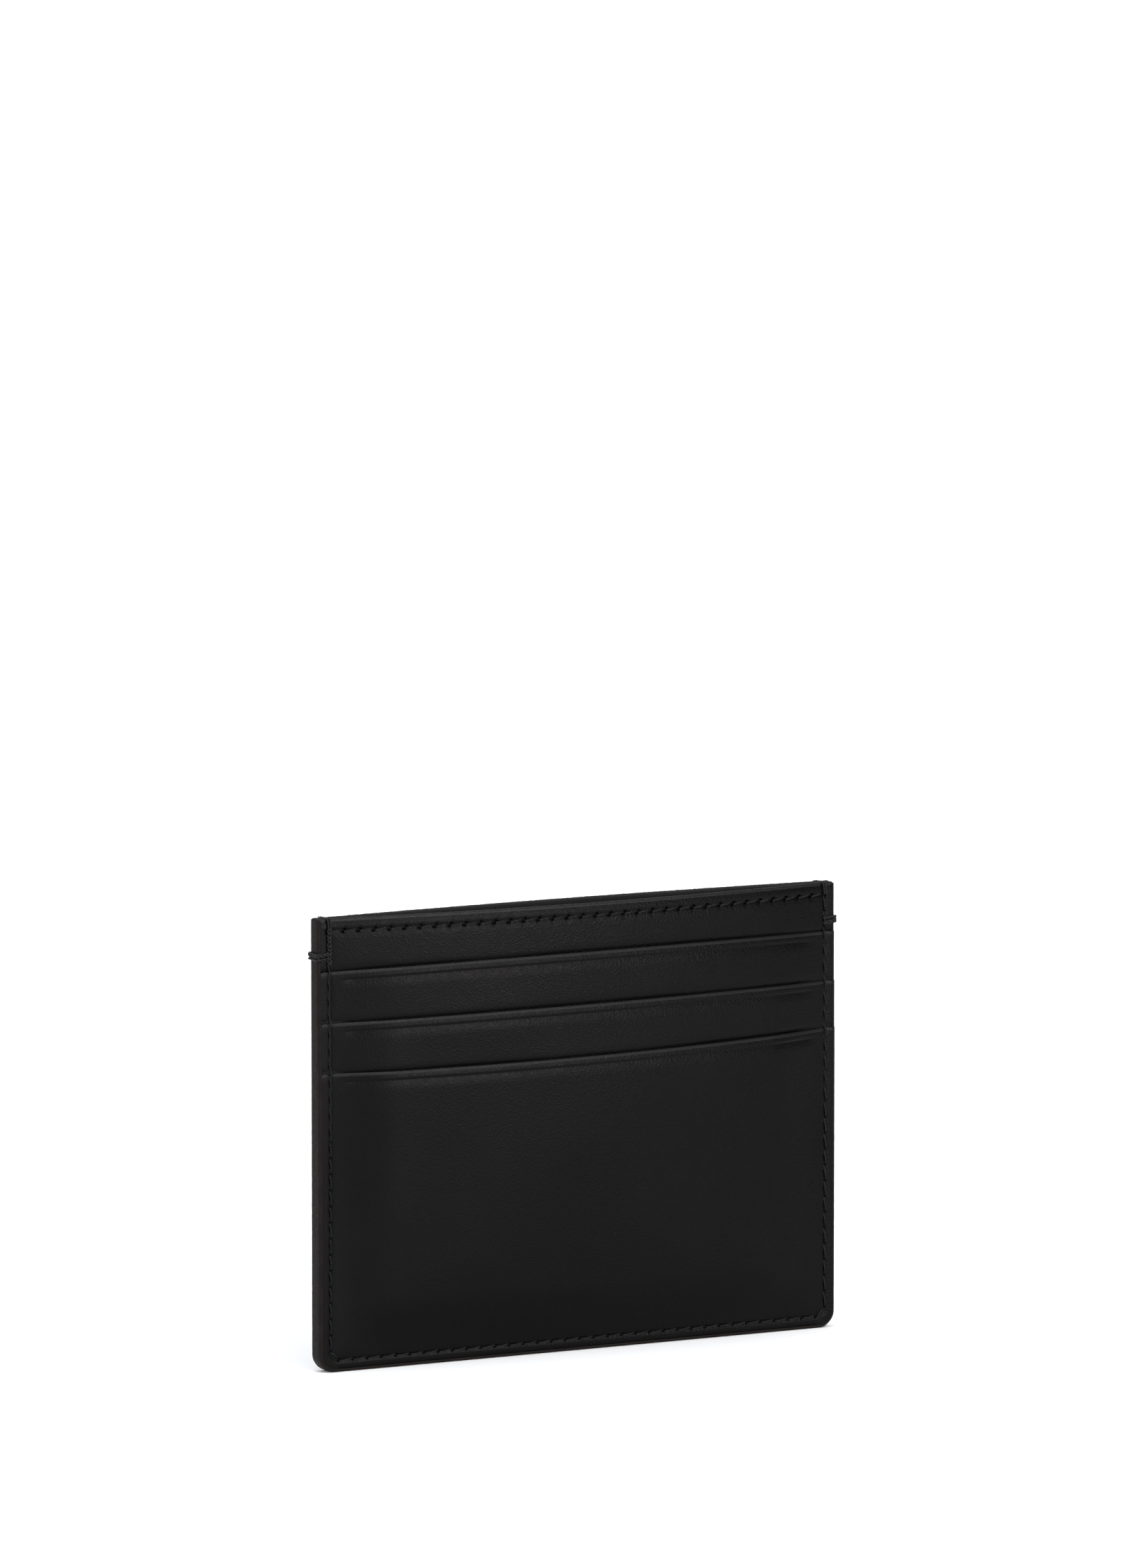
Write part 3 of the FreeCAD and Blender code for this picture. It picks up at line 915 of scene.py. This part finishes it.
# The sides take the lighter paint that carries painted light; the top edges and slot mouths take darker
# copies of the same paint.
for node, piece in painted_edges().items():
    look = None
    if "slot" in node:
        look = "edge_paint_fine"
    elif node.endswith("_top"):
        look = "edge_paint_rough"
    dress(piece, node, "edge_paint", look)
for node, piece in seams().items():
    dress(piece, node, "thread")

for side, level, facing in (("front", front_level, -1), ("back", back_level, 1)):
    lining = sheet("lining_" + side, COAT, straight(LEATHER_TOP), CORNER_R - COAT, 0.0,
                   level(GAP + LINING_T), level(GAP), lambda x, z: np.full(x.shape, MESH_PLAIN), facing)
    dress(lining, side + "_lining", "lining")

# pieces that the leather covers keep their CAD mesh
HIDDEN = {"front_stiffener": "board", "back_stiffener": "board", "pocket_top_drop": "lining",
          "pocket_middle_drop": "lining", "seam_pocket_top": "thread", "seam_pocket_middle": "thread"}
for node, slot in HIDDEN.items():
    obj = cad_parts[node]
    obj.data.materials.clear()
    obj.data.materials.append(MATERIALS[slot])

# ---- floor, light and camera ----
FLOOR_R = 14.0
FLOOR_SIDES = 96


def floor_material():
    floor_look = Nodes("floor")
    color = floor_look.blend(floor_look.noise(3.0), (0.90, 0.90, 0.90), (0.92, 0.92, 0.92))
    return floor_look.finish(color, floor_look.spread(floor_look.noise(20.0), 0.8, 0.9),
                             floor_look.bump(floor_look.noise(300.0), 0.00002), specular=0.1)


floor_mesh = bpy.data.meshes.new("floor")
angles = np.linspace(0, math.tau, FLOOR_SIDES, endpoint=False)
floor_mesh.from_pydata([(FLOOR_R * math.cos(a), FLOOR_R * math.sin(a), 0.0) for a in angles], [],
                       [list(range(FLOOR_SIDES))])
floor_mesh.materials.append(floor_material())
floor = bpy.data.objects.new("floor", floor_mesh)
bpy.context.scene.collection.objects.link(floor)

HORIZON_GLOW = 0.06
ZENITH_GLOW = 1.58
GLOW_AXIS = Vector((-0.45, -0.05, 0.90)).normalized()
world = bpy.data.worlds.new("studio")
world.use_nodes = True
sky = world.node_tree
along_glow = sky.nodes.new("ShaderNodeVectorMath")
along_glow.operation = "DOT_PRODUCT"
along_glow.inputs[1].default_value = GLOW_AXIS
glow = sky.nodes.new("ShaderNodeMapRange")
glow.interpolation_type = "SMOOTHSTEP"
sky.links.new(sky.nodes.new("ShaderNodeTexCoord").outputs["Generated"], along_glow.inputs[0])
sky.links.new(along_glow.outputs["Value"], glow.inputs["Value"])
glow.inputs["From Min"].default_value = -0.25
glow.inputs["From Max"].default_value = 1.0
glow.inputs["To Min"].default_value = HORIZON_GLOW
glow.inputs["To Max"].default_value = ZENITH_GLOW
sky.links.new(glow.outputs["Result"], sky.nodes["Background"].inputs["Strength"])
sky.nodes["Background"].inputs["Color"].default_value = (1.0, 1.0, 1.0, 1.0)
bpy.context.scene.world = world


# powers in watts, sizes and places in metres
def softbox(name, where, target, width, height, power, color=(1.0, 1.0, 1.0)):
    light = bpy.data.lights.new(name, "AREA")
    light.shape = "RECTANGLE"
    light.size = width
    light.size_y = height
    light.energy = power
    light.color = color
    obj = bpy.data.objects.new(name, light)
    obj.location = where
    obj.rotation_euler = (Vector(target) - Vector(where)).to_track_quat("-Z", "Y").to_euler()
    bpy.context.scene.collection.objects.link(obj)


CENTRE = (0.0, 0.0, 0.039)
softbox("front_low", (0.38, -1.12, 0.20), CENTRE, 0.34, 0.24, 5.6, (1.0, 0.95, 0.94))
softbox("front_top", (0.14, -1.08, 0.92), CENTRE, 0.5, 0.32, 9.0)
softbox("overhead_strip", (-0.20, 0.05, 1.3), CENTRE, 0.9, 0.12, 4.0, (0.74, 0.84, 1.0))

view = bpy.context.scene.view_settings
view.view_transform = "Standard"
view.look = "None"

AZIMUTH = math.radians(-27.751)
ELEVATION = math.radians(9.063)
DISTANCE = 2.2004
PITCH = math.radians(7.5405)        # the camera looks less steeply down than it stands above
YAW = math.radians(0.01085)
LENS = 294.2

away = Vector((math.sin(AZIMUTH), -math.cos(AZIMUTH), 0.0))
right = Vector((math.cos(AZIMUTH), math.sin(AZIMUTH), 0.0))
up = Vector((0.0, 0.0, 1.0))
forward = -away * math.cos(PITCH) - up * math.sin(PITCH) - right * math.tan(YAW)
camera_data = bpy.data.cameras.new("camera")
camera_data.sensor_fit = "VERTICAL"
camera_data.sensor_height = 36.0
camera_data.lens = LENS
camera_data.clip_end = 60.0
camera = bpy.data.objects.new("camera", camera_data)
camera.location = Vector(CENTRE) + DISTANCE * (away * math.cos(ELEVATION) + up * math.sin(ELEVATION))
camera.rotation_euler = forward.to_track_quat("-Z", "Y").to_euler()
bpy.context.scene.collection.objects.link(camera)
bpy.context.scene.camera = camera
